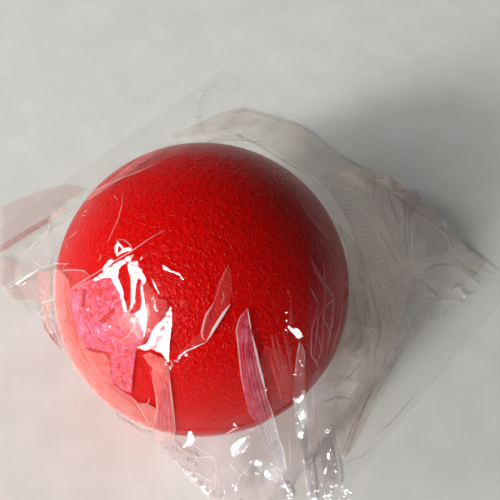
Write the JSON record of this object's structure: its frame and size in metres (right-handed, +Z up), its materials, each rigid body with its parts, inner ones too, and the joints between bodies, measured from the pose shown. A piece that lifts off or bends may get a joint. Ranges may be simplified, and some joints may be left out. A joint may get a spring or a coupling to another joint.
{
  "type": "finger exerciser",
  "caption": "Round foam squeeze ball with a pebbled skin for finger and hand exercise, loose inside a sealed clear film bag that rests flat.",
  "frame": {"origin": "on the surface that the bag lies on, straight below the ball's centre", "axes": "+X along the bag from its left end seal to its right one, +Y towards its long fin seal, +Z up"},
  "size_m": [0.116, 0.1065, 0.064],
  "materials": {
    "foam": "open-cell polyurethane foam, cream",
    "ball_skin": "soft polyurethane skin with a pebbled leather grain, satin red",
    "film": "thin clear polypropylene film, glossy, creased",
    "crimped_film": "two layers of clear film heat-sealed between ribbed jaws"
  },
  "bodies": {
    "bag": {"lower_film": "film", "upper_film": "film", "fin_seal": "crimped_film", "left_end_seal": "crimped_film", "right_end_seal": "crimped_film"},
    "ball": {"foam_core": "foam", "lower_skin": "ball_skin", "pour_plug": "ball_skin"},
    "crown": {"upper_skin": "ball_skin"}
  },
  "joints": [
    {"name": "ball_turn", "type": "hinge", "parent": "bag", "child": "ball", "pos_m": [0, 0, 0.03195], "axis": [0, 0, 1], "continuous": true},
    {"name": "squeeze", "type": "slide", "parent": "ball", "child": "crown", "axis": [0, 0, -1], "range_m": [0, 0.018], "stiffness_N_per_m": 2000, "deforming": ["foam_core", "lower_skin", "upper_film"]}
  ]
}
